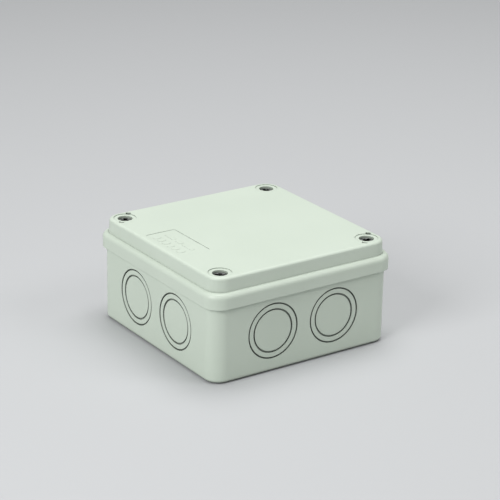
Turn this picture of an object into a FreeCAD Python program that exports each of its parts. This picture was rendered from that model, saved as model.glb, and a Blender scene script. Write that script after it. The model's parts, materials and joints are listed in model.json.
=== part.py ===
"""Surface-mount junction box: base tray, stepped screw-down lid, seal, and a five-pole terminal block.

Millimetres, +Z up. The origin is on the box's axis, in the plane of its back face.
"""
import FreeCAD, Part
import math
import os

import Sketcher
from FreeCAD import Vector

PARTS_FOLDER = "parts"
MAX_LEVEL_ERROR = 0.01

# Driving dimensions: alias, value in millimetres (degrees for a draft), what it is.
DIMENSIONS = (
    ("base_width", 107.8, "base, outside, both ways"),
    ("base_corner", 7.8, "base, radius of its upright corners"),
    ("base_top", 45.0, "level of the base wall's top, where the seal lands"),
    ("base_foot", 2.2, "base, round along the foot"),
    ("wall", 2.2, "thickness of the base's walls"),
    ("floor", 2.5, "thickness of the base's floor"),
    ("screw_offset", 44.8, "lid screws, from each centre plane"),
    ("post_radius", 4.6, "base, screw posts"),
    ("post_top", 47.4, "level of the posts' tops"),
    ("post_thread_top", 41.9, "level where the posts' threaded bore begins"),
    ("post_thread_end", 33.0, "level where the posts' threaded bore ends"),
    ("post_mouth_radius", 2.35, "posts, clearance bore above the thread"),
    ("web", 1.8, "thickness of the ribs that tie a post to the walls"),
    ("web_drop", 4.0, "step from a post's top down to its ribs"),
    ("overlap", 0.5, "how far joined features run into each other"),
    ("knockout_level", 22.0, "level of the knockouts' centres"),
    ("knockout_offset", 18.64, "knockouts, from each wall's middle"),
    ("knockout_radius", 14.5, "larger knockout ring, middle of its groove"),
    ("knockout_small_radius", 11.35, "smaller knockout ring, middle of its groove"),
    ("knockout_step", 0.2, "step down from the wall to the ring, and from the ring to the disc"),
    ("groove_width", 0.8, "width of a larger knockout groove"),
    ("small_groove_width", 0.9, "width of a smaller knockout groove"),
    ("groove_depth", 1.3, "depth of a knockout groove"),
    ("fixing_offset", 38.0, "wall fixing holes, from each centre plane"),
    ("fixing_radius", 2.5, "wall fixing holes"),
    ("fixing_collar_radius", 4.4, "raised collars round the wall fixing holes"),
    ("fixing_collar_top", 4.5, "level of those collars' tops"),
    ("boss_offset", 31.0, "terminal block's fixing screws, from the middle"),
    ("boss_radius", 4.2, "bosses under the terminal block"),
    ("boss_bore_radius", 1.5, "bosses, bore for the fixing screws"),
    ("boss_bore_end", 1.5, "level where that bore ends"),
    ("block_seat", 7.5, "level of the bosses' tops and the block's underside"),
    ("rim_width", 111.6, "lid skirt, outside"),
    ("rim_corner", 9.2, "lid skirt, radius of its upright corners"),
    ("rim_bottom", 40.2, "level of the skirt's lower edge"),
    ("shoulder_top", 48.3, "level of the shoulder round the plateau"),
    ("shoulder_round", 2.9, "radius of the shoulder's rounded edge"),
    ("skirt_gap", 0.3, "gap between the skirt and the base"),
    ("skirt_roof", 46.4, "level of the skirt's roof, over the seal"),
    ("plateau_width", 106.6, "lid plateau, at its foot"),
    ("plateau_corner", 8.5, "lid plateau, radius of its upright corners"),
    ("plateau_draft", 3.0, "draft of the plateau's sides, degrees"),
    ("plateau_round", 1.5, "round along the plateau's top edge"),
    ("lid_top", 55.7, "level of the lid's top"),
    ("lid_wall", 2.0, "thickness of the lid's top"),
    ("lid_cavity", 101.8, "width of the hollow under the plateau"),
    ("lid_cavity_corner", 6.1, "radius of that hollow's corners"),
    ("column_radius", 6.3, "lid, columns that hold the screws"),
    ("column_bottom", 47.7, "level of the columns' lower ends"),
    ("well_radius", 3.95, "lid, screw wells"),
    ("well_floor", 49.6, "level of the wells' floors"),
    ("shank_hole_radius", 1.8, "lid, hole under each well"),
    ("recess_radius", 6.0, "shallow recess round each well"),
    ("recess_depth", 0.4, "depth of that recess"),
    ("wire_slot_offset", 4.8, "seal-wire slots, from the screw, along X and along Y"),
    ("wire_slot_length", 2.8, "seal-wire slots, length"),
    ("wire_slot_width", 2.0, "seal-wire slots, width"),
    ("wire_slot_corner", 0.5, "seal-wire slots, corner radius"),
    ("wire_slot_depth", 3.5, "seal-wire slots, depth"),
    ("panel_offset", 40.75, "marking panel, from the middle"),
    ("panel_width", 17.5, "marking panel, across"),
    ("panel_length", 34.0, "marking panel, along"),
    ("panel_corner", 1.6, "marking panel, corner radius"),
    ("panel_depth", 0.25, "marking panel, depth of its shallow field"),
    ("seal_width", 107.2, "seal, outside"),
    ("seal_corner", 7.5, "seal, outer corner radius"),
    ("seal_thickness", 1.6, "seal, across its band"),
    ("seal_gap", 0.05, "gap between the seal and the base wall's top"),
    ("ring_radius", 2.25, "screw sealing ring, middle of its section"),
    ("ring_section", 0.7, "screw sealing ring, radius of its section"),
    ("fit_gap", 0.05, "running gap where a piece turns or rests"),
    ("screw_head_radius", 3.6, "lid screw, head"),
    ("screw_head_height", 3.2, "lid screw, head"),
    ("screw_head_round", 0.8, "lid screw, round of its head"),
    ("screw_shank_radius", 1.5, "lid screw, waisted shank"),
    ("screw_thread_radius", 2.0, "lid screw, thread"),
    ("screw_thread_length", 5.4, "lid screw, thread"),
    ("screw_point", 1.0, "lid screw, point"),
    ("drive_width", 1.4, "width of a lid screw's drive slots"),
    ("drive_length", 5.2, "length of a lid screw's drive slots"),
    ("drive_depth", 1.9, "depth of a lid screw's drive slots"),
    ("pole_pitch", 10.0, "terminal block, distance between poles"),
    ("block_length", 52.0, "terminal block, without its feet"),
    ("block_width", 22.0, "terminal block, across"),
    ("block_height", 16.0, "terminal block"),
    ("block_corner", 1.0, "terminal block, radius of its upright corners"),
    ("block_round", 0.8, "terminal block, round along its top edge"),
    ("foot_length", 72.0, "terminal block, over its feet"),
    ("foot_width", 12.0, "terminal block's feet, across"),
    ("foot_height", 4.0, "terminal block's feet"),
    ("foot_corner", 4.0, "terminal block's feet, corner radius"),
    ("bar_width", 7.0, "brass clamp, across"),
    ("bar_length", 18.0, "brass clamp, along the wires"),
    ("bar_height", 8.5, "brass clamp"),
    ("bar_lift", 1.5, "brass clamp, above the block's underside"),
    ("way_width", 3.8, "wire way through a brass clamp, across"),
    ("way_lift", 1.6, "wire way, above the clamp's underside"),
    ("way_height", 3.9, "wire way, height"),
    ("way_corner", 0.3, "wire way, corner radius"),
    ("clamp_offset", 5.0, "clamp screws, from the clamp's middle"),
    ("chamber_gap", 0.1, "gap between a brass clamp and its chamber"),
    ("window_radius", 2.7, "wire windows and screw shafts of the block"),
    ("plate_width", 3.2, "pressure plate, across"),
    ("plate_length", 5.0, "pressure plate, along the wire"),
    ("plate_corner", 0.8, "pressure plate, corner radius"),
    ("plate_thickness", 0.6, "pressure plate"),
    ("plate_gap", 0.1, "pressure plate, above the wire way's floor"),
    ("clamp_radius", 1.75, "clamp screw, thread"),
    ("clamp_bore_radius", 1.8, "brass clamp, screw bores"),
    ("clamp_head_radius", 2.4, "clamp screw, head"),
    ("clamp_head_height", 1.7, "clamp screw, head"),
    ("clamp_head_round", 0.3, "clamp screw, round of its head"),
    ("clamp_stem", 6.4, "clamp screw, from its tip to its head"),
    ("clamp_slot_width", 0.8, "clamp screw, slot"),
    ("clamp_slot_depth", 0.8, "clamp screw, slot"),
    ("foot_screw_radius", 1.45, "block fixing screw, thread"),
    ("foot_screw_length", 9.0, "block fixing screw, under its head"),
    ("foot_head_radius", 2.9, "block fixing screw, head"),
    ("foot_head_height", 2.2, "block fixing screw, head"),
    ("foot_head_round", 0.9, "block fixing screw, round of its head"),
    ("foot_hole_gap", 0.2, "block fixing screw, gap in the block's foot"),
    ("foot_drive_width", 0.9, "block fixing screw, width of its drive slots"),
    ("foot_drive_length", 3.4, "block fixing screw, length of its drive slots"),
    ("foot_drive_depth", 1.2, "block fixing screw, depth of its drive slots"),
)

POLES = 5
QUARTERS = 4
CORNERS = {"front_left": (-1, -1), "front_right": (1, -1), "back_left": (-1, 1), "back_right": (1, 1)}
SEALED_CORNERS = ("front_right", "back_left")
WIRE_SLOT_TURN = -45
CLAMP_SIDES = {"front": -1, "back": 1}
PLATE_LEVEL = "dims.block_seat + dims.bar_lift + dims.way_lift + dims.plate_gap"

document = FreeCAD.newDocument("junction_box")
sheet = document.addObject("Spreadsheet::Sheet", "dims")
sub_parts = []


def fill_sheet():
    """Write one row per driving dimension: its words, then its value under an alias."""
    for row, (alias, value, words) in enumerate(DIMENSIONS, start=1):
        sheet.set(f"A{row}", words)
        sheet.set(f"B{row}", str(value))
        sheet.setAlias(f"B{row}", alias)
    document.recompute()


def size(alias):
    """The value of one driving dimension."""
    return float(sheet.get(alias))


def bind(feature, **expressions):
    """Bind properties to the sheet; a double underscore in a name stands for a dot."""
    for name, expression in expressions.items():
        feature.setExpression(name.replace("__", "."), expression)


def new_body(name):
    """A body that becomes one node and one STEP file."""
    body = document.addObject("PartDesign::Body", name)
    body.Label = name
    sub_parts.append(body)
    return body


def origin_feature(body, role):
    """One of the body's own origin planes or axes."""
    return next(item for item in body.Origin.OriginFeatures if item.Role == role)


def place(body, x="0", y="0", z="0"):
    """Bind the body's position to expressions."""
    bind(body, Placement__Base__x=x, Placement__Base__y=y, Placement__Base__z=z)


def attach(feature, body, level="0", plane="XY_Plane", x="0", y="0"):
    """Attach to an origin plane, moved along its normal by level and in it by x and y."""
    feature.AttachmentSupport = (origin_feature(body, plane), [""])
    feature.MapMode = "FlatFace"
    bind(feature, AttachmentOffset__Base__x=x, AttachmentOffset__Base__y=y, AttachmentOffset__Base__z=level)


def new_sketch(body, name, level="0", plane="XY_Plane", x="0", y="0"):
    """A sketch on one of the body's origin planes."""
    sketch = body.newObject("Sketcher::SketchObject", name)
    attach(sketch, body, level, plane, x, y)
    return sketch


def evaluate(expression):
    """The number that a sheet expression stands for."""
    return float(sheet.evalExpression(expression))


def draw_rectangle(sketch, width, length, corner=None):
    """A rectangle about the sketch's origin; corner rounds it with four tangent arcs."""
    half_x = evaluate(width) / 2
    half_y = evaluate(length) / 2
    radius = evaluate(corner) if corner else 0.0
    first = sketch.GeometryCount
    signs = ((-1, -1), (1, -1), (1, 1), (-1, 1))
    ends = [
        (Vector(-half_x + radius, -half_y, 0), Vector(half_x - radius, -half_y, 0)),
        (Vector(half_x, -half_y + radius, 0), Vector(half_x, half_y - radius, 0)),
        (Vector(half_x - radius, half_y, 0), Vector(-half_x + radius, half_y, 0)),
        (Vector(-half_x, half_y - radius, 0), Vector(-half_x, -half_y + radius, 0)),
    ]
    for start, end in ends:
        sketch.addGeometry(Part.LineSegment(start, end))
    south, east, north, west = range(first, first + QUARTERS)
    for line in (south, north):
        sketch.addConstraint(Sketcher.Constraint("Horizontal", line))
    for line in (east, west):
        sketch.addConstraint(Sketcher.Constraint("Vertical", line))
    if corner:
        round_corners(sketch, first, signs, (half_x, half_y, radius), corner)
        sketch.addConstraint(Sketcher.Constraint("Symmetric", first + 4, 3, first + 6, 3, -1, 1))
    else:
        for line in range(QUARTERS):
            after = first + (line + 1) % QUARTERS
            sketch.addConstraint(Sketcher.Constraint("Coincident", first + line, 2, after, 1))
        sketch.addConstraint(Sketcher.Constraint("Symmetric", south, 1, north, 1, -1, 1))
    bind_dimension(sketch, Sketcher.Constraint("DistanceX", west, 1, east, 1, 2 * half_x), width)
    bind_dimension(sketch, Sketcher.Constraint("DistanceY", south, 1, north, 1, 2 * half_y), length)


def round_corners(sketch, first, signs, sizes, corner):
    """Join four lines, the first of them at index first, with equal tangent arcs."""
    half_x, half_y, radius = sizes
    for index, (sign_x, sign_y) in enumerate(signs):
        centre = Vector(sign_x * (half_x - radius), sign_y * (half_y - radius), 0)
        start = math.pi + index * math.pi / 2
        circle = Part.Circle(centre, Vector(0, 0, 1), radius)
        sketch.addGeometry(Part.ArcOfCircle(circle, start, start + math.pi / 2))
    for index in range(QUARTERS):
        arc = first + QUARTERS + index
        before = first + (index - 1) % QUARTERS
        sketch.addConstraint(Sketcher.Constraint("Tangent", before, 2, arc, 1))
        sketch.addConstraint(Sketcher.Constraint("Tangent", arc, 2, first + index, 1))
        if index:
            sketch.addConstraint(Sketcher.Constraint("Equal", first + QUARTERS, arc))
    bind_dimension(sketch, Sketcher.Constraint("Radius", first + QUARTERS, radius), corner)


def bind_dimension(sketch, constraint, expression):
    """Add a dimension and drive it from the sheet."""
    index = sketch.addConstraint(constraint)
    sketch.setExpression(f"Constraints[{index}]", expression)


def draw_circle(sketch, radius, x=None, y=None):
    """A circle centred on the sketch's origin, or at positive distances x and y from it."""
    centre = Vector(evaluate(x) if x else 0, evaluate(y) if y else 0, 0)
    index = sketch.addGeometry(Part.Circle(centre, Vector(0, 0, 1), evaluate(radius)))
    bind_dimension(sketch, Sketcher.Constraint("Radius", index, evaluate(radius)), radius)
    if x:
        bind_dimension(sketch, Sketcher.Constraint("DistanceX", -1, 1, index, 3, centre.x), x)
    else:
        sketch.addConstraint(Sketcher.Constraint("PointOnObject", index, 3, -2))
    if y:
        bind_dimension(sketch, Sketcher.Constraint("DistanceY", -1, 1, index, 3, centre.y), y)
    else:
        sketch.addConstraint(Sketcher.Constraint("PointOnObject", index, 3, -1))
    return index


def mirror_circle(sketch, original, radius, x="0", y="0", axis=-2):
    """The same circle on the other side of the sketch's vertical (-2) or horizontal (-1) axis."""
    side_x = -1 if axis == -2 else 1
    centre = Vector(side_x * evaluate(x), -side_x * evaluate(y), 0)
    index = sketch.addGeometry(Part.Circle(centre, Vector(0, 0, 1), evaluate(radius)))
    sketch.addConstraint(Sketcher.Constraint("Equal", original, index))
    sketch.addConstraint(Sketcher.Constraint("Symmetric", original, 3, index, 3, axis))


def pad(body, sketch, name, length, **bindings):
    """Extrude a sketch along its normal."""
    feature = body.newObject("PartDesign::Pad", name)
    feature.Profile = sketch
    bind(feature, Length=length, **bindings)
    document.recompute()
    return feature


def pocket(body, sketch, name, length, upward=False):
    """Cut a sketch against its normal, or along it when upward; it must remove material."""
    before = body.Shape.Volume
    feature = body.newObject("PartDesign::Pocket", name)
    feature.Profile = sketch
    feature.Reversed = upward
    bind(feature, Length=length)
    document.recompute()
    if body.Shape.Volume >= before:
        raise RuntimeError(f"{name} removes nothing")
    return feature


def turn_pattern(body, name, originals):
    """Repeat features at every quarter turn about Z."""
    feature = body.newObject("PartDesign::PolarPattern", name)
    feature.Originals = originals
    feature.Axis = (origin_feature(body, "Z_Axis"), [""])
    feature.Angle = 360
    feature.Occurrences = QUARTERS
    body.Tip = feature
    document.recompute()
    return feature


def pole_pattern(body, name, originals):
    """Repeat features once per pole along +X."""
    feature = body.newObject("PartDesign::LinearPattern", name)
    feature.Originals = originals
    feature.Direction = (origin_feature(body, "X_Axis"), [""])
    bind(feature, Length=f"{POLES - 1} * dims.pole_pitch")
    feature.Occurrences = POLES
    body.Tip = feature
    document.recompute()
    return feature


def edges_at_level(feature, level):
    """Names of the feature's edges that lie flat at one level."""
    names = []
    for number, edge in enumerate(feature.Shape.Edges, start=1):
        box = edge.BoundBox
        flat = abs(box.ZMin - level) < MAX_LEVEL_ERROR and abs(box.ZMax - level) < MAX_LEVEL_ERROR
        if flat:
            names.append(f"Edge{number}")
    return names


def fillet(body, base, name, level, radius):
    """Round every edge of a feature at one level."""
    feature = body.newObject("PartDesign::Fillet", name)
    feature.Base = (base, edges_at_level(base, level))
    bind(feature, Radius=radius)
    document.recompute()
    return feature


def cylinder(body, name, radius, height, level):
    """A cylinder on the body's axis."""
    feature = body.newObject("PartDesign::AdditiveCylinder", name)
    attach(feature, body, level)
    bind(feature, Radius=radius, Height=height)
    document.recompute()
    return feature


def slot(body, name, length, width, depth, level):
    """A straight slot across the axis, cut down from a level."""
    feature = body.newObject("PartDesign::SubtractiveBox", name)
    attach(feature, body, f"{level} - {depth}", x=f"-{length} / 2", y=f"-{width} / 2")
    bind(feature, Length=length, Width=width, Height=depth)
    document.recompute()
    return feature


def build_base():
    """Tray with screw posts, knockouts in its walls, and fixing points in its floor."""
    body = new_body("base_box")
    outline = new_sketch(body, "base_outline")
    draw_rectangle(outline, "dims.base_width", "dims.base_width", "dims.base_corner")
    block = pad(body, outline, "base_block", "dims.base_top")
    fillet(body, block, "base_foot_round", 0.0, "dims.base_foot")
    hollow = new_sketch(body, "base_hollow_outline", "dims.base_top")
    inner_width = "dims.base_width - 2 * dims.wall"
    draw_rectangle(hollow, inner_width, inner_width, "dims.base_corner - dims.wall")
    pocket(body, hollow, "base_hollow", "dims.base_top - dims.floor")
    build_posts(body)
    build_knockouts(body)
    build_fixings(body)
    build_bosses(body)


def build_posts(body):
    """Corner posts, each tied to the walls by two ribs, with a bore for the lid screw."""
    post_height = "dims.post_top - dims.floor"
    circle = new_sketch(body, "post_circle", "dims.floor")
    draw_circle(circle, "dims.post_radius", "dims.screw_offset", "dims.screw_offset")
    post = pad(body, circle, "post", post_height)
    reach = "(dims.base_width / 2 - dims.wall - dims.screw_offset + dims.overlap)"
    ribs = []
    for name, wide, long in (("post_rib_x", reach, "dims.web"), ("post_rib_y", "dims.web", reach)):
        shift = f"dims.screw_offset + {reach} / 2"
        x = shift if name == "post_rib_x" else "dims.screw_offset"
        y = shift if name == "post_rib_y" else "dims.screw_offset"
        outline = new_sketch(body, name + "_outline", "dims.floor", x=x, y=y)
        draw_rectangle(outline, wide, long)
        ribs.append(pad(body, outline, name, f"{post_height} - dims.web_drop"))
    mouth = new_sketch(body, "post_mouth_circle", "dims.post_top")
    draw_circle(mouth, "dims.post_mouth_radius", "dims.screw_offset", "dims.screw_offset")
    clearance = pocket(body, mouth, "post_mouth", "dims.post_top - dims.post_thread_top")
    bore = new_sketch(body, "post_bore_circle", "dims.post_top")
    draw_circle(bore, "dims.screw_thread_radius + dims.fit_gap", "dims.screw_offset", "dims.screw_offset")
    thread = pocket(body, bore, "post_bore", "dims.post_top - dims.post_thread_end")
    turn_pattern(body, "posts", [post, *ribs, clearance, thread])


def build_knockouts(body):
    """Two double-ring knockouts in every wall: grooves that leave a thin web, each round a lower face."""
    cuts = []
    grooves = new_sketch(body, "knockout_grooves", "dims.base_width / 2", "XZ_Plane", y="dims.knockout_level")
    for name, radius, width, step in (
        ("ring", "dims.knockout_radius", "dims.groove_width", "dims.knockout_step"),
        ("disc", "dims.knockout_small_radius", "dims.small_groove_width", "2 * dims.knockout_step"),
    ):
        face = new_sketch(body, "knockout_" + name, "dims.base_width / 2", "XZ_Plane",
                          y="dims.knockout_level")
        circle = draw_circle(face, radius, "dims.knockout_offset")
        mirror_circle(face, circle, radius, "dims.knockout_offset")
        cuts.append(pocket(body, face, "lowered_" + name, step))
        for edge in (f"{radius} + {width} / 2", f"{radius} - {width} / 2"):
            circle = draw_circle(grooves, edge, "dims.knockout_offset")
            mirror_circle(grooves, circle, edge, "dims.knockout_offset")
    cuts.append(pocket(body, grooves, "cut_grooves", "dims.groove_depth"))
    turn_pattern(body, "knockouts", cuts)


def build_fixings(body):
    """Wall fixing holes through raised collars in the floor."""
    ring = new_sketch(body, "fixing_collar_circle", "dims.floor")
    draw_circle(ring, "dims.fixing_collar_radius", "dims.fixing_offset", "dims.fixing_offset")
    collar = pad(body, ring, "fixing_collar", "dims.fixing_collar_top - dims.floor")
    circle = new_sketch(body, "fixing_hole_circle", "dims.fixing_collar_top")
    draw_circle(circle, "dims.fixing_radius", "dims.fixing_offset", "dims.fixing_offset")
    hole = pocket(body, circle, "fixing_hole", "dims.fixing_collar_top")
    turn_pattern(body, "fixings", [collar, hole])


def build_bosses(body):
    """Two bosses that carry the terminal block."""
    ring = new_sketch(body, "boss_circles", "dims.floor")
    circle = draw_circle(ring, "dims.boss_radius", "dims.boss_offset")
    mirror_circle(ring, circle, "dims.boss_radius", "dims.boss_offset")
    pad(body, ring, "bosses", "dims.block_seat - dims.floor")
    bores = new_sketch(body, "boss_bore_circles", "dims.block_seat")
    circle = draw_circle(bores, "dims.boss_bore_radius", "dims.boss_offset")
    mirror_circle(bores, circle, "dims.boss_bore_radius", "dims.boss_offset")
    pocket(body, bores, "boss_bores", "dims.block_seat - dims.boss_bore_end")


def build_lid():
    """Stepped lid: skirt, rounded shoulder, plateau, screw columns and a marking panel."""
    body = new_body("lid")
    rim = new_sketch(body, "rim_outline", "dims.rim_bottom")
    draw_rectangle(rim, "dims.rim_width", "dims.rim_width", "dims.rim_corner")
    skirt = pad(body, rim, "rim_block", "dims.shoulder_top - dims.rim_bottom")
    fillet(body, skirt, "shoulder", size("shoulder_top"), "dims.shoulder_round")
    raised = new_sketch(body, "plateau_outline", "dims.shoulder_top - dims.overlap")
    draw_rectangle(raised, "dims.plateau_width", "dims.plateau_width", "dims.plateau_corner")
    plateau = pad(body, raised, "plateau", "dims.lid_top - dims.shoulder_top + dims.overlap",
                  TaperAngle="-dims.plateau_draft")
    fillet(body, plateau, "plateau_edge", size("lid_top"), "dims.plateau_round")
    lower = new_sketch(body, "skirt_hollow_outline", "dims.rim_bottom")
    inner_width = "dims.base_width + 2 * dims.skirt_gap"
    draw_rectangle(lower, inner_width, inner_width, "dims.base_corner + dims.skirt_gap")
    pocket(body, lower, "skirt_hollow", "dims.skirt_roof - dims.rim_bottom", upward=True)
    upper = new_sketch(body, "plateau_hollow_outline", "dims.skirt_roof")
    draw_rectangle(upper, "dims.lid_cavity", "dims.lid_cavity", "dims.lid_cavity_corner")
    pocket(body, upper, "plateau_hollow", "dims.lid_top - dims.lid_wall - dims.skirt_roof", upward=True)
    build_columns(body)
    build_wire_slots(body)
    build_panel(body)


def build_columns(body):
    """Columns with a deep well for each screw, a shank hole below it and a recess round it."""
    outline = new_sketch(body, "column_circle", "dims.column_bottom")
    draw_circle(outline, "dims.column_radius", "dims.screw_offset", "dims.screw_offset")
    column = pad(body, outline, "column", "dims.lid_top - dims.lid_wall + dims.overlap - dims.column_bottom")
    cuts = []
    for name, radius, depth in (
        ("recess", "dims.recess_radius", "dims.recess_depth"),
        ("well", "dims.well_radius", "dims.lid_top - dims.well_floor"),
        ("shank_hole", "dims.shank_hole_radius", "dims.lid_top - dims.column_bottom"),
    ):
        circle = new_sketch(body, name + "_circle", "dims.lid_top")
        draw_circle(circle, radius, "dims.screw_offset", "dims.screw_offset")
        cuts.append(pocket(body, circle, name, depth))
    turn_pattern(body, "columns", [column, *cuts])


def build_wire_slots(body):
    """Pairs of small slots beside two opposite screws, for a sealing wire."""
    for corner in SEALED_CORNERS:
        side_x, side_y = CORNERS[corner]
        for end, side in (("near", -1), ("far", 1)):
            name = f"wire_slot_{corner}_{end}"
            outline = new_sketch(
                body, name + "_outline", "dims.lid_top",
                x=f"{side_x} * dims.screw_offset + {side} * dims.wire_slot_offset",
                y=f"{side_y} * dims.screw_offset + {side} * dims.wire_slot_offset")
            turn = FreeCAD.Rotation(Vector(0, 0, 1), WIRE_SLOT_TURN)
            outline.AttachmentOffset = FreeCAD.Placement(Vector(), turn)
            draw_rectangle(outline, "dims.wire_slot_length", "dims.wire_slot_width", "dims.wire_slot_corner")
            pocket(body, outline, name, "dims.wire_slot_depth")


def build_panel(body):
    """A shallow marking field with rounded corners, let into the lid's top."""
    outline = new_sketch(body, "panel_outline", "dims.lid_top", x="-dims.panel_offset")
    draw_rectangle(outline, "dims.panel_width", "dims.panel_length", "dims.panel_corner")
    pocket(body, outline, "panel_field", "dims.panel_depth")


def build_seal():
    """A closed band between the base wall's top and the skirt's roof."""
    body = new_body("lid_seal")
    band = new_sketch(body, "seal_outline", "dims.base_top + dims.seal_gap")
    draw_rectangle(band, "dims.seal_width", "dims.seal_width", "dims.seal_corner")
    inner_width = "dims.seal_width - 2 * dims.seal_thickness"
    draw_rectangle(band, inner_width, inner_width, "dims.seal_corner - dims.seal_thickness")
    pad(body, band, "seal_band", "dims.skirt_roof - dims.base_top - dims.seal_gap")


def build_sealing_ring(corner, side_x, side_y):
    """The rubber ring under one lid screw's head."""
    body = new_body("screw_ring_" + corner)
    place(body, f"{side_x} * dims.screw_offset", f"{side_y} * dims.screw_offset",
          "dims.well_floor + dims.fit_gap + dims.ring_section")
    ring = body.newObject("PartDesign::AdditiveTorus", "ring_" + corner)
    attach(ring, body)
    bind(ring, Radius1="dims.ring_radius", Radius2="dims.ring_section")


def build_lid_screw(corner, side_x, side_y):
    """A captive lid screw: pan head with a cross drive, waisted shank, short thread and point."""
    body = new_body("lid_screw_" + corner)
    place(body, f"{side_x} * dims.screw_offset", f"{side_y} * dims.screw_offset",
          "dims.well_floor + 2 * dims.fit_gap + 2 * dims.ring_section")
    head = cylinder(body, "head_" + corner, "dims.screw_head_radius", "dims.screw_head_height", "0")
    fillet(body, head, "head_round_" + corner, size("screw_head_height"),
           "dims.screw_head_round")
    under_head = "(dims.well_floor + 2 * dims.fit_gap + 2 * dims.ring_section)"
    thread_top = f"dims.post_thread_top - {under_head}"
    shank_bottom = f"{thread_top} - dims.overlap"
    cylinder(body, "shank_" + corner, "dims.screw_shank_radius", f"-({shank_bottom})", shank_bottom)
    thread_end = f"{thread_top} - dims.screw_thread_length"
    cylinder(body, "thread_" + corner, "dims.screw_thread_radius", "dims.screw_thread_length", thread_end)
    point = body.newObject("PartDesign::AdditiveCone", "point_" + corner)
    attach(point, body, f"{thread_end} - dims.screw_point")
    bind(point, Radius1="dims.screw_thread_radius / 2", Radius2="dims.screw_thread_radius",
         Height="dims.screw_point")
    slot(body, "drive_x_" + corner, "dims.drive_length", "dims.drive_width", "dims.drive_depth",
         "dims.screw_head_height")
    slot(body, "drive_y_" + corner, "dims.drive_width", "dims.drive_length", "dims.drive_depth",
         "dims.screw_head_height")


def build_block():
    """The terminal block's moulding: five chambers, wire windows, screw shafts and two feet."""
    body = new_body("terminal_block")
    outline = new_sketch(body, "block_outline", "dims.block_seat")
    draw_rectangle(outline, "dims.block_length", "dims.block_width", "dims.block_corner")
    block = pad(body, outline, "block", "dims.block_height")
    block_top = size("block_seat") + size("block_height")
    fillet(body, block, "block_edge", block_top, "dims.block_round")
    feet = new_sketch(body, "feet_outline", "dims.block_seat")
    draw_rectangle(feet, "dims.foot_length", "dims.foot_width", "dims.foot_corner")
    pad(body, feet, "feet", "dims.foot_height")
    holes = new_sketch(body, "foot_hole_circles", "dims.block_seat + dims.foot_height")
    foot_hole = "dims.foot_screw_radius + dims.foot_hole_gap"
    circle = draw_circle(holes, foot_hole, "dims.boss_offset")
    mirror_circle(holes, circle, foot_hole, "dims.boss_offset")
    pocket(body, holes, "foot_holes", "dims.foot_height")
    first_pole = f"-{(POLES - 1) / 2} * dims.pole_pitch"
    chamber = new_sketch(body, "chamber_outline", "dims.block_seat", x=first_pole)
    draw_rectangle(chamber, "dims.bar_width + 2 * dims.chamber_gap", "dims.bar_length + 2 * dims.chamber_gap")
    bars = pocket(body, chamber, "chamber", "dims.bar_lift + dims.bar_height + dims.chamber_gap", upward=True)
    way_level = "dims.block_seat + dims.bar_lift + dims.way_lift + dims.way_height / 2"
    window = new_sketch(body, "window_circle", "dims.block_width / 2", "XZ_Plane", x=first_pole, y=way_level)
    draw_circle(window, "dims.window_radius")
    windows = pocket(body, window, "window", "dims.block_width")
    shaft = new_sketch(body, "shaft_circles", "dims.block_seat + dims.block_height", x=first_pole)
    circle = draw_circle(shaft, "dims.window_radius", y="dims.clamp_offset")
    mirror_circle(shaft, circle, "dims.window_radius", y="dims.clamp_offset", axis=-1)
    shafts = pocket(body, shaft, "shaft", "dims.block_height - dims.bar_lift - dims.bar_height")
    pole_pattern(body, "poles", [bars, windows, shafts])


def pole_position(pole):
    """Expression for one pole's place along X."""
    return f"{pole - (POLES - 1) / 2} * dims.pole_pitch"


def build_brass_clamp(pole):
    """One pole's brass body: a wire way through it and two screw bores from above."""
    number = pole + 1
    body = new_body(f"brass_clamp_{number}")
    place(body, pole_position(pole), "0", "dims.block_seat + dims.bar_lift")
    outline = new_sketch(body, f"bar_outline_{number}")
    draw_rectangle(outline, "dims.bar_width", "dims.bar_length")
    pad(body, outline, f"bar_{number}", "dims.bar_height")
    way_level = "dims.way_lift + dims.way_height / 2"
    way = new_sketch(body, f"way_outline_{number}", "dims.bar_length / 2", "XZ_Plane", y=way_level)
    draw_rectangle(way, "dims.way_width", "dims.way_height", "dims.way_corner")
    pocket(body, way, f"way_{number}", "dims.bar_length")
    bores = new_sketch(body, f"bar_bore_circles_{number}", "dims.bar_height")
    circle = draw_circle(bores, "dims.clamp_bore_radius", y="dims.clamp_offset")
    mirror_circle(bores, circle, "dims.clamp_bore_radius", y="dims.clamp_offset", axis=-1)
    bore_depth = "dims.bar_height - dims.way_lift - dims.way_height + dims.way_corner"
    pocket(body, bores, f"bar_bores_{number}", bore_depth)


def build_pressure_plate(pole, side, sign):
    """The plate under one clamp screw, at the floor of the wire way."""
    name = f"{side}_{pole + 1}"
    body = new_body("pressure_plate_" + name)
    place(body, pole_position(pole), f"{sign} * dims.clamp_offset", PLATE_LEVEL)
    outline = new_sketch(body, "plate_outline_" + name)
    draw_rectangle(outline, "dims.plate_width", "dims.plate_length", "dims.plate_corner")
    pad(body, outline, "plate_" + name, "dims.plate_thickness")


def build_clamp_screw(pole, side, sign):
    """One clamp screw: slotted cheese head and a thread that presses on its plate."""
    name = f"{side}_{pole + 1}"
    body = new_body("clamp_screw_" + name)
    tip_level = PLATE_LEVEL + " + dims.plate_thickness + dims.fit_gap"
    place(body, pole_position(pole), f"{sign} * dims.clamp_offset", tip_level)
    cylinder(body, "stem_" + name, "dims.clamp_radius", "dims.clamp_stem", "0")
    head = cylinder(body, "clamp_head_" + name, "dims.clamp_head_radius", "dims.clamp_head_height",
                    "dims.clamp_stem")
    head_top = size("clamp_stem") + size("clamp_head_height")
    fillet(body, head, "clamp_head_edge_" + name, head_top, "dims.clamp_head_round")
    slot(body, "clamp_slot_" + name, "3 * dims.clamp_head_radius", "dims.clamp_slot_width",
         "dims.clamp_slot_depth", "(dims.clamp_stem + dims.clamp_head_height)")


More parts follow.
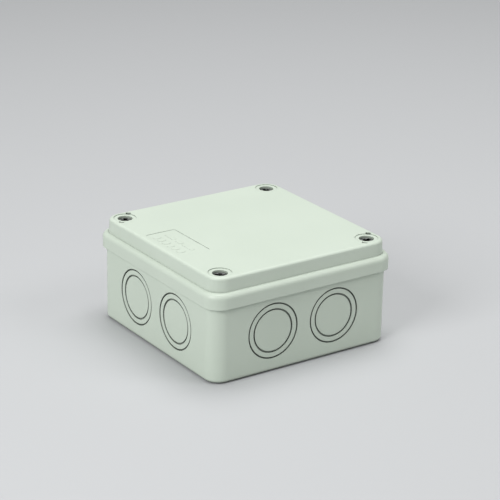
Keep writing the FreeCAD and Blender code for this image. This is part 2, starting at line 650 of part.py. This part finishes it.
def build_block_screw(side, sign):
    """One of the two screws that hold the terminal block down."""
    body = new_body("block_screw_" + side)
    place(body, f"{sign} * dims.boss_offset", "0", "dims.block_seat + dims.foot_height")
    head = cylinder(body, "foot_head_" + side, "dims.foot_head_radius", "dims.foot_head_height", "0")
    fillet(body, head, "foot_head_edge_" + side, size("foot_head_height"),
           "dims.foot_head_round")
    cylinder(body, "foot_stem_" + side, "dims.foot_screw_radius", "dims.foot_screw_length",
             "-dims.foot_screw_length")
    slot(body, "foot_drive_x_" + side, "dims.foot_drive_length", "dims.foot_drive_width",
         "dims.foot_drive_depth", "dims.foot_head_height")
    slot(body, "foot_drive_y_" + side, "dims.foot_drive_width", "dims.foot_drive_length",
         "dims.foot_drive_depth", "dims.foot_head_height")


def check_objects():
    """Stop if any object failed, or any sub-part's shape is empty, invalid or not one solid."""
    for item in document.Objects:
        failed = [state for state in item.State if state in ("Invalid", "Error")]
        if failed:
            raise RuntimeError(f"{item.Name} is {failed}")
    for item in sub_parts:
        if item.Shape.isNull() or not item.Shape.isValid() or len(item.Shape.Solids) != 1:
            raise RuntimeError(f"{item.Label} has no single valid solid")


def export_parts():
    """Write each sub-part to its own STEP file."""
    os.makedirs(PARTS_FOLDER, exist_ok=True)
    for item in sub_parts:
        item.Shape.exportStep(os.path.join(PARTS_FOLDER, item.Label + ".step"))
        print(f"{item.Label}: {item.Shape.Volume:.1f} mm3")


fill_sheet()
build_base()
build_lid()
build_seal()
for corner_name, (corner_x, corner_y) in CORNERS.items():
    build_sealing_ring(corner_name, corner_x, corner_y)
    build_lid_screw(corner_name, corner_x, corner_y)
build_block()
for pole_index in range(POLES):
    build_brass_clamp(pole_index)
    for side_name, side_sign in CLAMP_SIDES.items():
        build_pressure_plate(pole_index, side_name, side_sign)
        build_clamp_screw(pole_index, side_name, side_sign)
build_block_screw("left", -1)
build_block_screw("right", 1)
document.recompute()
check_objects()
export_parts()
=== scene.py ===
"""Looks of the surface-mount junction box: camera, light, materials and the pieces finer than the CAD."""

import json
import math

import bmesh
import bpy
from mathutils import Matrix, Vector
from mathutils.geometry import tessellate_polygon


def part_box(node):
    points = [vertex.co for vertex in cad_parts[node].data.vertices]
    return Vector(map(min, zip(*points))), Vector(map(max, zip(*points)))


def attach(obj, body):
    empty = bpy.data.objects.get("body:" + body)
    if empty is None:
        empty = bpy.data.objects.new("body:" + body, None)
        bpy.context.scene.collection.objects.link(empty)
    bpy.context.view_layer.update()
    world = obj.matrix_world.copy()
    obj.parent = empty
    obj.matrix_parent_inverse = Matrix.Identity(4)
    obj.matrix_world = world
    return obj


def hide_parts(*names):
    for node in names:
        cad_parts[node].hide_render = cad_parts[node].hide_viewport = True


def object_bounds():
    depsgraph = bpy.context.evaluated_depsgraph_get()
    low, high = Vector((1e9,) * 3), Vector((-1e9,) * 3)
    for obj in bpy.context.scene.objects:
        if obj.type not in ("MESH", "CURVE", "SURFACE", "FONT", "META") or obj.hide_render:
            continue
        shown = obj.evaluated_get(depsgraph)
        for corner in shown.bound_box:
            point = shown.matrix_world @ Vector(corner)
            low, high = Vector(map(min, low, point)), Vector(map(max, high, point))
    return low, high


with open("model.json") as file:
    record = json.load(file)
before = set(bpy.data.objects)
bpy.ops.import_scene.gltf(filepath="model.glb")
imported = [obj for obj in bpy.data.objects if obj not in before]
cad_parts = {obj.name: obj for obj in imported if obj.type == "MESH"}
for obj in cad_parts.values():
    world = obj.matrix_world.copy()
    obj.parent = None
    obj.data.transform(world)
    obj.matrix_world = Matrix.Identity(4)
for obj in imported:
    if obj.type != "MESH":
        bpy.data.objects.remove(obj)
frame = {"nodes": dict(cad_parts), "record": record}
CAD_LOW, CAD_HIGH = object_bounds()

MM = 0.001
# Name of the value that marks the points down in a screw's drive, where the steel is painted nearly black as
# painted shade.
DRIVE_SHADE_VALUE = "drive_depth"

# Camera: direction and roll in degrees, and how far back, right and up it stands from a point on the axis.
VIEW_AZIMUTH = -34.744
VIEW_ELEVATION = 21.21
VIEW_ROLL = 1.128
VIEW_DISTANCE = 1.0025
VIEW_SIDESTEP = 3.46 * MM
VIEW_RISE = 19.86 * MM
AIM_LEVEL = 21.96 * MM
SENSOR = 36.0
LENS = 138.3
CLIP_NEAR = 0.01
CLIP_FAR = 20.0

# Square soft boxes that point at one place: name, place, width in metres, power in watts.
LIGHT_AIM = (0.0, 0.0, 0.03)
LIGHTS = (
    ("key", (-1.05, -0.25, 0.70), 0.6, 9.8),
    ("top", (0.2, 0.12, 1.25), 0.9, 12.0),
    ("fill", (0.75, -0.85, 1.0), 0.5, 3.7),
)
SURROUND_COLOUR = (0.93, 0.93, 0.92, 1.0)
SURROUND_STRENGTH = 0.34

FLOOR_REACH = 3.0
FLOOR_DROP = 0.05 * MM
FLOOR_COLOUR = (0.48, 0.49, 0.50, 1.0)
FLOOR_ROUGHNESS = 0.75


def add_camera():
    """A long lens at three-quarter view, a little above the lid."""
    azimuth, elevation, roll = map(math.radians, (VIEW_AZIMUTH, VIEW_ELEVATION, VIEW_ROLL))
    back = Vector((math.sin(azimuth) * math.cos(elevation),
                   -math.cos(azimuth) * math.cos(elevation), math.sin(elevation)))
    level_right = Vector((math.cos(azimuth), math.sin(azimuth), 0.0))
    level_up = back.cross(level_right)
    right = math.cos(roll) * level_right + math.sin(roll) * level_up
    up = math.cos(roll) * level_up - math.sin(roll) * level_right
    place = right * VIEW_SIDESTEP + up * VIEW_RISE + back * VIEW_DISTANCE + Vector((0, 0, AIM_LEVEL))
    data = bpy.data.cameras.new("camera")
    data.lens = LENS
    data.sensor_width = SENSOR
    data.clip_start = CLIP_NEAR
    data.clip_end = CLIP_FAR
    camera = bpy.data.objects.new("camera", data)
    camera.matrix_world = Matrix.Translation(place) @ Matrix((right, up, back)).transposed().to_4x4()
    bpy.context.scene.collection.objects.link(camera)
    bpy.context.scene.camera = camera


def add_area_light(name, place, size, power):
    """A square soft box that points at the box."""
    data = bpy.data.lights.new(name, "AREA")
    data.shape = "SQUARE"
    data.size = size
    data.energy = power
    light = bpy.data.objects.new(name, data)
    light.location = place
    light.rotation_euler = (Vector(LIGHT_AIM) - Vector(place)).to_track_quat("-Z", "Y").to_euler()
    bpy.context.scene.collection.objects.link(light)


def add_lights():
    """A key from the left, a large light above, a weak fill from the right and an even pale surround."""
    for name, place, size, power in LIGHTS:
        add_area_light(name, place, size, power)
    world = bpy.data.worlds.new("surround")
    world.use_nodes = True
    sky = world.node_tree.nodes["Background"]
    sky.inputs["Color"].default_value = SURROUND_COLOUR
    sky.inputs["Strength"].default_value = SURROUND_STRENGTH
    bpy.context.scene.world = world
    bpy.context.scene.view_settings.view_transform = "Standard"


def add_floor():
    """A wide pale floor just under the box."""
    mesh = bpy.data.meshes.new("floor")
    signs = ((-1, -1), (1, -1), (1, 1), (-1, 1))
    corners = [(sign_x * FLOOR_REACH, sign_y * FLOOR_REACH, 0) for sign_x, sign_y in signs]
    mesh.from_pydata(corners, [], [(0, 1, 2, 3)])
    floor = bpy.data.objects.new("floor", mesh)
    floor.location.z = -FLOOR_DROP
    bpy.context.scene.collection.objects.link(floor)
    material = bpy.data.materials.new("floor_pale")
    material.use_nodes = True
    shader = material.node_tree.nodes["Principled BSDF"]
    shader.inputs["Base Color"].default_value = FLOOR_COLOUR
    shader.inputs["Roughness"].default_value = FLOOR_ROUGHNESS
    mesh.materials.append(material)


class Nodes:
    """Short ways to add and join the shader nodes of one material."""

    def __init__(self, name):
        self.material = bpy.data.materials.new(name)
        self.material.use_nodes = True
        self.tree = self.material.node_tree
        self.shader = self.tree.nodes["Principled BSDF"]
        self.place = self.tree.nodes.new("ShaderNodeTexCoord").outputs["Object"]

    def add(self, kind, **settings):
        """A node with some of its settings changed."""
        node = self.tree.nodes.new(kind)
        for name, value in settings.items():
            setattr(node, name, value)
        return node

    def join(self, source, target):
        """A link between two sockets."""
        self.tree.links.new(source, target)

    def noise(self, scale, detail=3.0, rough=0.5, stretch=None):
        """Noise over the object's own coordinates, in features per metre."""
        node = self.add("ShaderNodeTexNoise")
        node.inputs["Scale"].default_value = scale
        node.inputs["Detail"].default_value = detail
        node.inputs["Roughness"].default_value = rough
        source = self.place
        if stretch:
            mapping = self.add("ShaderNodeMapping")
            mapping.inputs["Scale"].default_value = stretch
            self.join(source, mapping.inputs["Vector"])
            source = mapping.outputs["Vector"]
        self.join(source, node.inputs["Vector"])
        return node.outputs["Fac"]

    def grains(self, scale):
        """Small rounded cells over the object's own coordinates."""
        node = self.add("ShaderNodeTexVoronoi", feature="SMOOTH_F1")
        node.inputs["Scale"].default_value = scale
        self.join(self.place, node.inputs["Vector"])
        return node.outputs["Distance"]

    def crevice(self, reach):
        """An ambient occlusion value: one in the open and towards zero deep in a groove or corner, which the
        materials use to paint shade.
        """
        node = self.add("ShaderNodeAmbientOcclusion", samples=8)
        node.inputs["Distance"].default_value = reach
        return node.outputs["AO"]

    def value_of(self, name):
        """A value stored on a piece's points; zero on a piece that has none."""
        return self.add("ShaderNodeAttribute", attribute_name=name).outputs["Fac"]

    def larger(self, first, second):
        """The larger of two values."""
        node = self.add("ShaderNodeMath", operation="MAXIMUM")
        self.join(first, node.inputs[0])
        self.join(second, node.inputs[1])
        return node.outputs["Value"]

    def soft_edges(self, radius):
        """Normals that round off sharp edges a little."""
        node = self.add("ShaderNodeBevel", samples=6)
        node.inputs["Radius"].default_value = radius
        return node.outputs["Normal"]

    def remap(self, source, low, high, bottom=0.0, top=1.0):
        """Stretch a value from one range to another and clamp it there."""
        node = self.add("ShaderNodeMapRange")
        for name, value in (("From Min", low), ("From Max", high), ("To Min", bottom), ("To Max", top)):
            node.inputs[name].default_value = value
        self.join(source, node.inputs["Value"])
        return node.outputs["Result"]

    def blend(self, factor, first, second):
        """Mix two colours; each is a colour or a socket."""
        node = self.add("ShaderNodeMix", data_type="RGBA")
        self.join(factor, node.inputs["Factor"])
        for colour, socket in ((first, node.inputs["A"]), (second, node.inputs["B"])):
            if isinstance(colour, tuple):
                socket.default_value = (*colour, 1.0)
            else:
                self.join(colour, socket)
        return node.outputs["Result"]

    def bump(self, height, distance, strength=1.0, before=None):
        """Bump from a height value, on top of an earlier bump if one is given."""
        node = self.add("ShaderNodeBump")
        node.inputs["Strength"].default_value = strength
        node.inputs["Distance"].default_value = distance
        self.join(height, node.inputs["Height"])
        if before:
            self.join(before, node.inputs["Normal"])
        return node.outputs["Normal"]

    def finish(self, colour, roughness, normal=None, **others):
        """Join the results to the shader; the rest are its constants or sockets to join."""
        self.join(colour, self.shader.inputs["Base Color"])
        self.join(roughness, self.shader.inputs["Roughness"])
        if normal:
            self.join(normal, self.shader.inputs["Normal"])
        for name, value in others.items():
            socket = self.shader.inputs[name.replace("_", " ")]
            if isinstance(value, float):
                socket.default_value = value
            else:
                self.join(value, socket)
        return self.material


def shell_plastic():
    """Pale grey-green thermoplastic with a fine mould texture, with painted shade that darkens its narrow
    grooves, wells and corners.
    """
    nodes = Nodes("shell_plastic")
    drift = nodes.remap(nodes.noise(22.0, 2.0), 0.35, 0.65)
    colour = nodes.blend(drift, (0.545, 0.618, 0.532), (0.560, 0.632, 0.546))
    specks = nodes.remap(nodes.noise(900.0, 4.0), 0.62, 0.80, 0.0, 0.05)
    colour = nodes.blend(specks, colour, (0.44, 0.47, 0.44))
    # Painted shade: the colour goes nearly black where the surface is hemmed in, as in the grooves, the screw
    # wells and under the lid's skirt.
    painted_shade = nodes.remap(nodes.crevice(3.0 * MM), 0.14, 0.79, 1.0, 0.0)
    colour = nodes.blend(painted_shade, colour, (0.06, 0.07, 0.063))
    roughness = nodes.remap(nodes.noise(60.0, 3.0), 0.3, 0.7, 0.36, 0.44)
    texture = nodes.bump(nodes.grains(2600.0), 0.03 * MM, 0.40, nodes.soft_edges(0.25 * MM))
    texture = nodes.bump(nodes.noise(45.0, 2.0), 0.25 * MM, 0.12, texture)
    return nodes.finish(colour, roughness, texture, Specular_IOR_Level=0.45)


def block_plastic():
    """Off-white polyamide, a little glossier than the shell."""
    nodes = Nodes("block_plastic")
    drift = nodes.remap(nodes.noise(80.0, 3.0), 0.3, 0.7)
    colour = nodes.blend(drift, (0.66, 0.64, 0.57), (0.72, 0.70, 0.63))
    # Painted shade: the colour goes dark brown in the block's hollows and corners.
    painted_shade = nodes.remap(nodes.crevice(2.0 * MM), 0.2, 0.8, 0.7, 0.0)
    colour = nodes.blend(painted_shade, colour, (0.16, 0.15, 0.12))
    roughness = nodes.remap(nodes.noise(400.0, 2.0), 0.3, 0.7, 0.32, 0.44)
    texture = nodes.bump(nodes.noise(1800.0, 3.0), 0.02 * MM, 0.3, nodes.soft_edges(0.15 * MM))
    return nodes.finish(colour, roughness, texture)


def plated_steel():
    """Dull zinc plate with fine turning marks, painted nearly black as painted shade in gaps and in the
    drives.
    """
    nodes = Nodes("plated_steel")
    patches = nodes.remap(nodes.noise(500.0, 4.0), 0.35, 0.7)
    colour = nodes.blend(patches, (0.40, 0.41, 0.41), (0.29, 0.30, 0.29))
    # Painted shade: the colour goes nearly black and stops being metal in gaps, and in the drives wherever a
    # screw's points are marked.
    painted_shade = nodes.remap(nodes.crevice(3.0 * MM), 0.55, 0.95, 0.9, 0.0)
    painted_shade = nodes.larger(painted_shade, nodes.value_of(DRIVE_SHADE_VALUE))
    colour = nodes.blend(painted_shade, colour, (0.004, 0.005, 0.004))
    metal = nodes.remap(painted_shade, 0.1, 0.7, 1.0, 0.0)
    roughness = nodes.remap(nodes.noise(1200.0, 4.0), 0.3, 0.7, 0.34, 0.52)
    marks = nodes.noise(1500.0, 2.0, stretch=(1.0, 1.0, 9.0))
    texture = nodes.bump(marks, 0.02 * MM, 0.3, nodes.soft_edges(0.08 * MM))
    return nodes.finish(colour, roughness, texture, Metallic=metal, Specular_IOR_Level=0.2)


def clamp_brass():
    """Extruded brass with drawn lines along its length and a warm tarnish."""
    nodes = Nodes("clamp_brass")
    tarnish = nodes.remap(nodes.noise(260.0, 4.0), 0.35, 0.7)
    colour = nodes.blend(tarnish, (0.74, 0.54, 0.24), (0.55, 0.38, 0.17))
    # Painted shade: the colour goes dark brown in the brass's hollows and corners.
    painted_shade = nodes.remap(nodes.crevice(2.5 * MM), 0.15, 0.70, 0.9, 0.0)
    colour = nodes.blend(painted_shade, colour, (0.05, 0.03, 0.012))
    roughness = nodes.remap(nodes.noise(700.0, 3.0), 0.3, 0.7, 0.24, 0.40)
    lines = nodes.noise(2200.0, 2.0, stretch=(1.0, 0.05, 1.0))
    texture = nodes.bump(lines, 0.02 * MM, 0.35, nodes.soft_edges(0.12 * MM))
    return nodes.finish(colour, roughness, texture, Metallic=1.0)


def seal_rubber():
    """Dark foam rubber with fine open pores."""
    nodes = Nodes("seal_rubber")
    pores = nodes.remap(nodes.grains(1900.0), 0.05, 0.35)
    colour = nodes.blend(pores, (0.035, 0.036, 0.038), (0.075, 0.077, 0.080))
    roughness = nodes.remap(nodes.noise(500.0, 3.0), 0.3, 0.7, 0.72, 0.86)
    texture = nodes.bump(nodes.grains(1900.0), 0.10 * MM, 0.5)
    return nodes.finish(colour, roughness, texture)


def ring_rubber():
    """Smooth black rubber with a faint bloom."""
    nodes = Nodes("ring_rubber")
    bloom = nodes.remap(nodes.noise(700.0, 4.0), 0.4, 0.7)
    colour = nodes.blend(bloom, (0.015, 0.015, 0.016), (0.035, 0.035, 0.036))
    roughness = nodes.remap(nodes.noise(900.0, 3.0), 0.3, 0.7, 0.45, 0.62)
    texture = nodes.bump(nodes.noise(2500.0, 3.0), 0.02 * MM, 0.3)
    return nodes.finish(colour, roughness, texture)


def dress_nodes():
    """Give every CAD node the material of its slot."""
    materials = {
        "grey_shell": shell_plastic(),
        "block_plastic": block_plastic(),
        "plated_steel": plated_steel(),
        "clamp_brass": clamp_brass(),
        "seal_rubber": seal_rubber(),
        "ring_rubber": ring_rubber(),
    }
    for part in frame["record"]["subparts"]:
        mesh = frame["nodes"][part["node"]].data
        mesh.materials.clear()
        mesh.materials.append(materials[part["material_slot"]])
    return materials


# Pieces finer than the CAD. Lengths are in millimetres until a piece is made.
SIDES = 48
SMOOTH_ANGLE = 40.0
SINK = 0.05

# Lid screw. Levels count up from the underside of its head; the crest and flank are parts of the lead.
HEAD_HEIGHT = 3.2
HEAD_ROUND = 0.8
HEAD_ROUND_STEPS = 8
HEAD_CHAMFER = 0.1
SHANK_RADIUS = 1.5
SHANK_CHAMFER = 0.3
THREAD_TOP = -9.2
THREAD_LOW = -14.6
THREAD_CORE = 1.4
THREAD_RADIUS = 2.0
THREAD_LEAD = 1.8
THREAD_ROWS_PER_TURN = 18
THREAD_HALF_CREST = 0.06
THREAD_FLANK = 0.18
POINT_LOW = -15.6
POINT_RADIUS = 1.0
DRIVE_HALF_LENGTH = 2.7
DRIVE_HALF_CROSS = 2.2
DRIVE_HALF_WIDTH = 1.0
DRIVE_DEPTH = 1.9
DRIVE_LIP = 0.05
DRIVE_TAPER = 0.72
# How far each screw happens to be turned, in degrees.
DRIVE_TURNS = {"front_left": -42.0, "front_right": 10.0, "back_left": 52.0, "back_right": -78.0}

# Marking panel: rows of plain raised bars. A row has its middle in X, its width and each bar's ends in Y.
PANEL_DEPTH = 0.25
MARK_HEIGHT = 0.17
MARK_EDGE = 0.35
MARK_CUT = 0.25
MARK_ROWS = (
    (-45.8, 4.2, ((13.6, 10.0), (9.0, 5.6), (4.6, 1.0), (0.0, -3.2), (-4.2, -8.0), (-9.0, -12.8))),
    (-39.5, 2.4, ((13.2, 4.6), (3.6, -2.2), (-3.2, -12.6))),
)

# Ejector-pin rings: the levels of the faces that they stand on, and one quarter of their places in X and Y.
BASE_FLOOR = 2.5
LID_ROOF = 53.7
RING_MARK_RADIUS = 2.6
RING_MARK_WIDTH = 0.5
RING_MARK_HEIGHT = 0.15
BASE_RING_PLACES = ((17.0, 27.0), (27.0, 17.0), (44.0, 17.0))
LID_RING_PLACES = ((16.0, 36.0), (36.0, 16.0), (16.0, 12.0))


class Solid:
    """Points and faces of one closed piece, in millimetres."""

    def __init__(self):
        self.points = []
        self.faces = []
        # Points in a screw's drive that are painted nearly black as painted shade.
        self.deep = set()

    def ring(self, points):
        """Add a ring of points and give their numbers."""
        start = len(self.points)
        self.points += [Vector(point) for point in points]
        return list(range(start, len(self.points)))

    def circle(self, radius, level, centre=(0.0, 0.0)):
        """A round ring of one radius at one level."""
        return self.ring(on_circle(radius, k, level, centre) for k in range(SIDES))

    def skin(self, rings):
        """Join each ring to the next with four-sided faces."""
        for first, second in zip(rings, rings[1:]):
            for i in range(len(first)):
                j = (i + 1) % len(first)
                self.faces.append((first[i], first[j], second[j], second[i]))

    def cap(self, ring):
        """Close one ring with a flat face."""
        self.faces.append(tuple(ring))

    def cap_round_hole(self, outer, inner):
        """Close the flat space between an outer ring and an inner one."""
        numbers = outer + inner
        rings = [[self.points[i] for i in ring] for ring in (outer, inner)]
        for triangle in tessellate_polygon(rings):
            self.faces.append(tuple(numbers[i] for i in triangle))


def on_circle(radius, step, level, centre=(0.0, 0.0)):
    """A point on a circle, by its step out of SIDES."""
    angle = 2 * math.pi * step / SIDES
    return (centre[0] + radius * math.cos(angle), centre[1] + radius * math.sin(angle), level)


def add_piece(name, solid, body, slot_name, place=(0.0, 0.0, 0.0), turn=0.0):
    """Make a solid into a piece that moves with a CAD body."""
    mesh = bpy.data.meshes.new(name)
    mesh.from_pydata([point * MM for point in solid.points], [], solid.faces)
    # Marked points get one, and the steel material paints them nearly black as painted shade.
    marks = mesh.attributes.new(DRIVE_SHADE_VALUE, "FLOAT", "POINT")
    for number in solid.deep:
        marks.data[number].value = 1.0
    work = bmesh.new()
    work.from_mesh(mesh)
    bmesh.ops.recalc_face_normals(work, faces=work.faces)
    for edge in work.edges:
        edge.smooth = edge.calc_face_angle(0.0) < math.radians(SMOOTH_ANGLE)
    for face in work.faces:
        face.smooth = True
    spin = Matrix.Rotation(math.radians(turn), 4, "Z")
    work.transform(Matrix.Translation(Vector(place) * MM) @ spin)
    work.to_mesh(mesh)
    work.free()
    piece = bpy.data.objects.new(name, mesh)
    bpy.context.scene.collection.objects.link(piece)
    mesh.materials.append(MATERIALS[slot_name])
    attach(piece, body)
    return piece


def thread_rings(solid, low, high):
    """Rings of a right-hand thread that fades out at both ends."""
    count = round(THREAD_ROWS_PER_TURN * (high - low) / THREAD_LEAD)
    rings = []
    for row in range(count + 1):
        level = low + (high - low) * row / count
        fade = min(1.0, 2 * (level - low) / THREAD_LEAD, 2 * (high - level) / THREAD_LEAD)
        points = []
        for k in range(SIDES):
            phase = ((level - low) / THREAD_LEAD - k / SIDES) % 1.0
            ridge = min(1.0, max(0.0, 1.0 - (abs(phase - 0.5) - THREAD_HALF_CREST) / THREAD_FLANK))
            radius = THREAD_CORE + (THREAD_RADIUS - THREAD_CORE) * ridge * fade
            points.append(on_circle(radius, k, level))
        rings.append(solid.ring(points))
    return rings


def drive_outline(grow, shrink, level):
    """A long slot and a short one crossed: the outline of a combined drive at one level."""
    long, short, width = (
        shrink * half + grow for half in (DRIVE_HALF_LENGTH - DRIVE_LIP, DRIVE_HALF_CROSS, DRIVE_HALF_WIDTH))
    quarter = ((long, width), (width, width), (width, short))
    corners = []
    for sign_x, sign_y, order in ((1, 1, 1), (-1, 1, -1), (-1, -1, 1), (1, -1, -1)):
        corners += [(sign_x * x, sign_y * y, level) for x, y in quarter[::order]]
    return corners


def lid_screw(head_radius):
    """A lid screw: point, right-hand thread, waisted shank and a pan head with a combined drive."""
    solid = Solid()
    tip = solid.circle(POINT_RADIUS, POINT_LOW)
    solid.cap(tip)
    rings = [tip] + thread_rings(solid, THREAD_LOW, THREAD_TOP)
    for radius, level in (
            (SHANK_RADIUS, THREAD_TOP + SHANK_CHAMFER), (SHANK_RADIUS, -SHANK_CHAMFER),
            (SHANK_RADIUS + SHANK_CHAMFER, 0.0), (head_radius - HEAD_CHAMFER, 0.0),
            (head_radius, HEAD_CHAMFER)):
        rings.append(solid.circle(radius, level))
    for step in range(HEAD_ROUND_STEPS + 1):
        angle = math.pi / 2 * step / HEAD_ROUND_STEPS
        rings.append(solid.circle(head_radius - HEAD_ROUND * (1 - math.cos(angle)),
                                  HEAD_HEIGHT - HEAD_ROUND * (1 - math.sin(angle))))
    solid.skin(rings)
    mouth = solid.ring(drive_outline(DRIVE_LIP, 1.0, HEAD_HEIGHT))
    neck = solid.ring(drive_outline(0.0, 1.0, HEAD_HEIGHT - DRIVE_LIP))
    foot = solid.ring(drive_outline(0.0, DRIVE_TAPER, HEAD_HEIGHT - DRIVE_DEPTH))
    solid.cap_round_hole(rings[-1], mouth)
    solid.skin([mouth, neck, foot])
    solid.cap(foot)
    # The drive's walls and floor are marked for painted shade.
    solid.deep.update(neck + foot)
    return solid


def add_lid_screws():
    """Detailed lid screws in place of the CAD ones, each turned its own way."""
    for corner, turn in DRIVE_TURNS.items():
        node = "lid_screw_" + corner
        low, high = (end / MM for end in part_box(node))
        middle = (low + high) / 2
        solid = lid_screw((high.x - low.x) / 2)
        place = (middle.x, middle.y, high.z - HEAD_HEIGHT)
        piece = add_piece("threaded_screw_" + corner, solid, "screw_" + corner, "plated_steel",
                          place, turn)
        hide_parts(node)


def bar(solid, low, high, base, top):
    """A raised bar with cut corners and a sloped edge, between two corners of its outline."""
    edge = MARK_EDGE * (top - base)
    rings = []
    for inset, level in ((0.0, base), (0.0, top - edge), (edge, top)):
        x0, y0, x1, y1 = low[0] + inset, low[1] + inset, high[0] - inset, high[1] - inset
        cut = MARK_CUT * min(x1 - x0, y1 - y0)
        rings.append(solid.ring([
            (x0 + cut, y0, level), (x1 - cut, y0, level), (x1, y0 + cut, level), (x1, y1 - cut, level),
            (x1 - cut, y1, level), (x0 + cut, y1, level), (x0, y1 - cut, level), (x0, y0 + cut, level)]))
    solid.cap(rings[0])
    solid.skin(rings)
    solid.cap(rings[-1])


def add_panel_marks():
    """Plain raised bars in the lid's marking panel."""
    floor = CAD_HIGH.z / MM - PANEL_DEPTH
    solid = Solid()
    for middle, size, bars in MARK_ROWS:
        for far, near in bars:
            bar(solid, (middle - size / 2, near), (middle + size / 2, far), floor - SINK, floor + MARK_HEIGHT)
    add_piece("panel_marks", solid, "lid", "grey_shell")


def ring_mark(solid, centre, base, top):
    """A low round ridge that stands on a surface."""
    inner = RING_MARK_RADIUS - RING_MARK_WIDTH / 2
    outer = RING_MARK_RADIUS + RING_MARK_WIDTH / 2
    slope = RING_MARK_WIDTH / 4
    section = ((inner, base), (inner + slope, top), (outer - slope, top), (outer, base))
    rings = [solid.circle(radius, level, centre) for radius, level in section]
    solid.skin(rings + rings[:1])


def add_ring_marks():
    """Rings left by the ejector pins, on the base's floor and under the lid's top."""
    for name, body, places, floor, up in (
            ("base_ring_marks", "base", BASE_RING_PLACES, BASE_FLOOR, 1),
            ("lid_ring_marks", "lid", LID_RING_PLACES, LID_ROOF, -1)):
        solid = Solid()
        for x, y in places:
            for side_x, side_y in ((-1, -1), (-1, 1), (1, -1), (1, 1)):
                ring_mark(solid, (side_x * x, side_y * y), floor - up * SINK, floor + up * RING_MARK_HEIGHT)
        add_piece(name, solid, body, "grey_shell")


add_camera()
add_lights()
add_floor()
MATERIALS = dress_nodes()
add_lid_screws()
add_panel_marks()
add_ring_marks()
